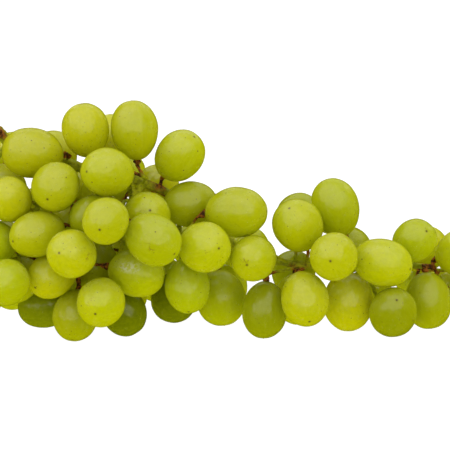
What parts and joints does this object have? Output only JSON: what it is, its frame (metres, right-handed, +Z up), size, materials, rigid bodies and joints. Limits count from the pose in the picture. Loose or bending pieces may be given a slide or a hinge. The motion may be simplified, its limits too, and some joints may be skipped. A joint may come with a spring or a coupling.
{
  "type": "bunch of grapes",
  "caption": "Loose, long bunch of large oval white table grapes lying on its side, with its green branching stem and cut stalk.",
  "frame": {"origin": "on the surface that the bunch lies on, under the middle of its box", "axes": "+Z up, +X along the bunch from the cut stalk to the tail, -Y towards the side that the reference view shows"},
  "size_m": [0.2386, 0.109, 0.0916],
  "materials": {
    "berry_skin": "thin translucent yellow-green grape skin under a soft grey bloom, satin, with tiny brown specks",
    "stem": "matt ribbed green stem, rust brown at the joints and under the berries"
  },
  "bodies": {
    "root": {"stem": "stem", "crown_berry_1": "berry_skin", "crown_berry_2": "berry_skin", "crown_berry_3": "berry_skin", "crown_berry_4": "berry_skin", "crown_berry_5": "berry_skin", "crown_berry_6": "berry_skin", "left_wing_berry_1": "berry_skin", "left_wing_berry_2": "berry_skin", "left_wing_berry_3": "berry_skin", "left_wing_berry_4": "berry_skin", "left_wing_berry_5": "berry_skin", "left_wing_berry_6": "berry_skin", "left_wing_berry_7": "berry_skin", "left_wing_berry_8": "berry_skin", "left_wing_berry_9": "berry_skin", "front_wing_berry_1": "berry_skin", "front_wing_berry_2": "berry_skin", "front_wing_berry_3": "berry_skin", "front_wing_berry_4": "berry_skin", "front_wing_berry_5": "berry_skin", "front_wing_berry_6": "berry_skin", "front_wing_berry_7": "berry_skin", "front_wing_berry_8": "berry_skin", "belly_berry_1": "berry_skin", "belly_berry_2": "berry_skin", "belly_berry_3": "berry_skin", "belly_berry_4": "berry_skin", "belly_berry_5": "berry_skin", "waist_berry_1": "berry_skin", "waist_berry_2": "berry_skin", "waist_berry_3": "berry_skin", "waist_berry_4": "berry_skin", "waist_berry_5": "berry_skin", "tail_berry_1": "berry_skin", "tail_berry_2": "berry_skin", "tail_berry_3": "berry_skin", "tail_berry_4": "berry_skin", "tail_berry_5": "berry_skin", "tail_berry_6": "berry_skin", "tail_berry_7": "berry_skin", "tip_berry_1": "berry_skin", "tip_berry_2": "berry_skin", "tip_berry_3": "berry_skin", "tip_berry_4": "berry_skin", "tip_berry_5": "berry_skin", "tip_berry_6": "berry_skin", "tip_berry_7": "berry_skin", "tip_berry_8": "berry_skin", "tip_berry_9": "berry_skin", "tip_berry_10": "berry_skin", "tip_berry_11": "berry_skin", "tip_berry_12": "berry_skin", "far_left_sprig": "berry_skin", "left_low_sprig": "berry_skin", "far_top_sprig": "berry_skin", "far_middle_sprig": "berry_skin", "far_low_sprig": "berry_skin", "far_waist_sprig": "berry_skin", "far_tail_sprig": "berry_skin"}
  },
  "joints": []
}
